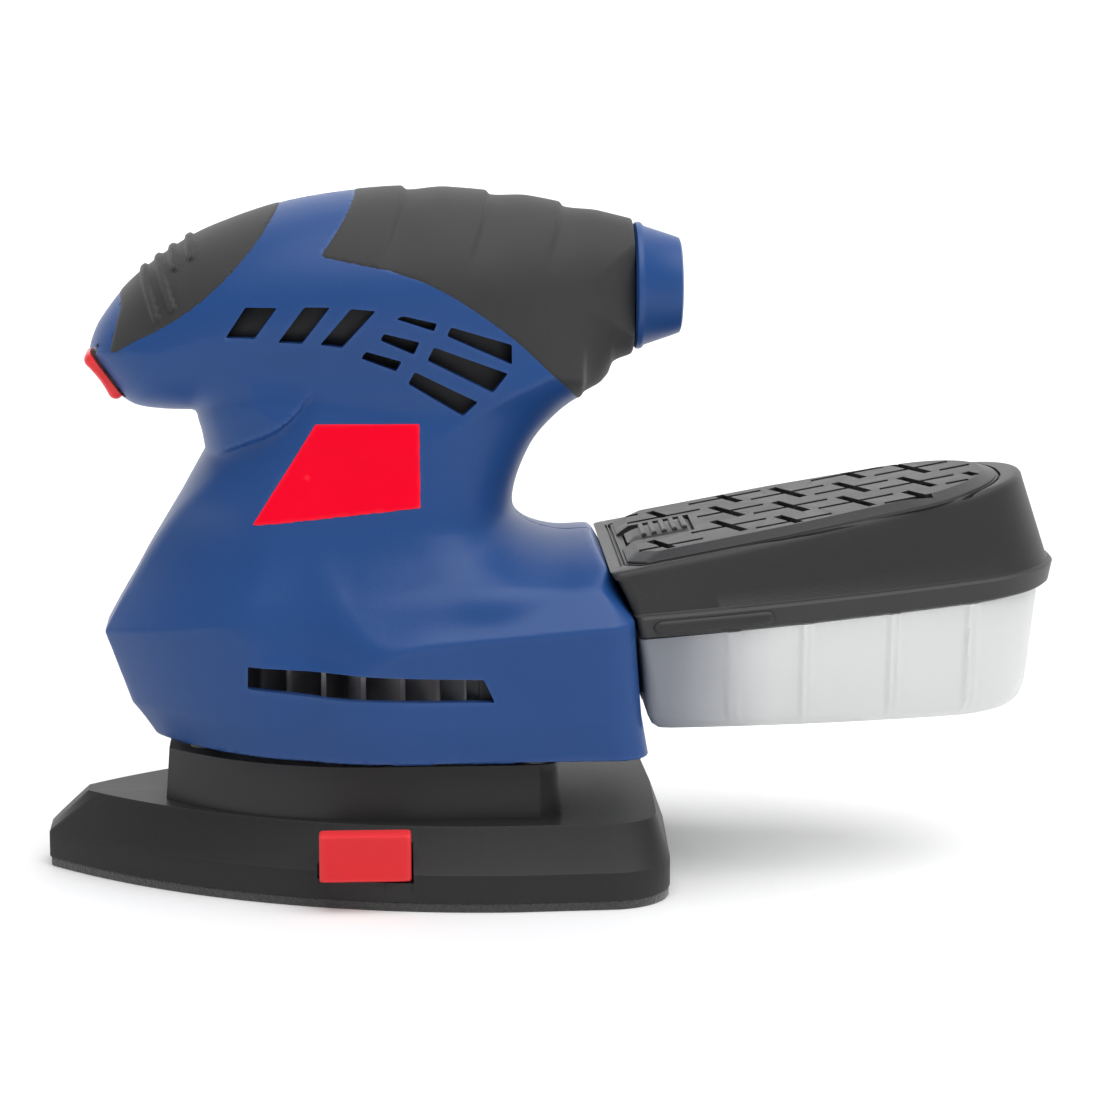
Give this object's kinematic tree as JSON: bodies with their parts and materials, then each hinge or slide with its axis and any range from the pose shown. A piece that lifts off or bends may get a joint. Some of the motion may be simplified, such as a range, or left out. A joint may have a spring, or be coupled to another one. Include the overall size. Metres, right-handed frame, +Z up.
{
  "type": "orbital sander",
  "caption": "Palm-grip orbital sander with an iron-shaped sole, a hollow shell over a motor and fan, and a slide-off dust box with a lift-off lid.",
  "frame": {"origin": "on the sole's face, under the motor's axis", "axes": "+Z up along the motor axis, -X towards the tip of the sole, +X towards the dust box, Y = 0 is the joint between the housing halves"},
  "size_m": [0.2287, 0.1006, 0.1541],
  "materials": {
    "body_blue": "satin moulded plastic",
    "grip_rubber": "soft matte rubber",
    "label_red": "plain satin label",
    "button_red": "satin moulded plastic",
    "black_plastic": "satin",
    "sole_plastic": "satin moulded plastic",
    "lid_plastic": "satin moulded plastic",
    "bin_clear": "milky translucent plastic",
    "hook_fabric": "short stiff hooks",
    "filter_paper": "pleated filter paper",
    "post_grey": "flexible grey posts",
    "fan_grey": "moulded",
    "steel": "turned and ground",
    "cast_alloy": "die cast",
    "lamination": "stacked sheet steel",
    "copper": "lacquered copper",
    "brass": "pressed sheet",
    "carbon": "pressed carbon"
  },
  "bodies": {
    "housing": {"housing_left": "body_blue", "housing_right": "body_blue", "rear_collar": "body_blue", "dust_spout": "body_blue", "front_grip": "grip_rubber", "rear_grip": "grip_rubber", "label_left": "label_red", "label_right": "label_red", "housing_screws": "steel", "switch_body": "black_plastic", "field_stack": "lamination", "field_coils": "copper", "motor_bracket": "black_plastic", "brush_front": "carbon", "brush_rear": "carbon", "brush_box_front": "brass", "brush_box_rear": "brass", "brush_spring_front": "steel", "brush_spring_rear": "steel"},
    "rotor": {"motor_shaft": "steel", "armature_core": "lamination", "armature_windings": "copper", "commutator": "copper", "upper_bearing": "steel", "lower_bearing": "steel", "pad_bearing": "steel", "crank": "cast_alloy", "pad_screw": "steel", "pad_washer": "steel", "fan": "fan_grey"},
    "pad": {"pad_carrier": "black_plastic", "carrier_screws": "steel", "sole_plate": "sole_plastic", "hook_face": "hook_fabric", "post_front_left": "post_grey", "post_rear_left": "post_grey", "post_front_right": "post_grey", "post_rear_right": "post_grey", "tab_spring_left": "steel", "tab_spring_right": "steel"},
    "tab_left": {"release_tab_left": "button_red"},
    "tab_right": {"release_tab_right": "button_red"},
    "switch": {"switch_rocker": "button_red"},
    "dust_box": {"dust_bin": "bin_clear", "spout_seal": "grip_rubber"},
    "box_lid": {"lid": "lid_plastic", "lid_plate": "lid_plastic", "filter_frame": "black_plastic", "filter": "filter_paper", "latch_pin": "steel"},
    "latch": {"latch": "lid_plastic"}
  },
  "joints": [
    {"name": "motor_spin", "type": "hinge", "parent": "housing", "child": "rotor", "pos_m": [0, 0, 0.06], "axis": [0, 0, 1], "continuous": true},
    {"name": "pad_orbit", "type": "hinge", "parent": "rotor", "child": "pad", "pos_m": [0.001, 0, 0.024], "axis": [0, 0, 1], "continuous": true},
    {"name": "tab_left_press", "type": "slide", "parent": "pad", "child": "tab_left", "axis": [0, -1, 0], "range_m": [0, 0.0018], "stiffness_N_per_m": 600, "springref_m": -0.001},
    {"name": "tab_right_press", "type": "slide", "parent": "pad", "child": "tab_right", "axis": [0, 1, 0], "range_m": [0, 0.0018], "stiffness_N_per_m": 600, "springref_m": -0.001},
    {"name": "switch_rock", "type": "hinge", "parent": "housing", "child": "switch", "pos_m": [-0.05621, 0, 0.11314], "axis": [0, 1, 0], "range_deg": [0, 6]},
    {"name": "dust_box_slide", "type": "slide", "parent": "housing", "child": "dust_box", "axis": [1, 0, 0], "range_m": [0, 0.025]},
    {"name": "lid_lift", "type": "slide", "parent": "dust_box", "child": "box_lid", "axis": [0, 0, 1], "range_m": [0, 0.025]},
    {"name": "latch_press", "type": "hinge", "parent": "box_lid", "child": "latch", "pos_m": [0.07021, 0, 0.07393], "axis": [0, 1, 0], "range_deg": [0, 4], "stiffness_Nm_per_rad": 0.05, "springref_deg": -5.73}
  ],
  "couplings": [
    {"joint": "pad_orbit", "follows": "motor_spin", "ratio": -1}
  ]
}
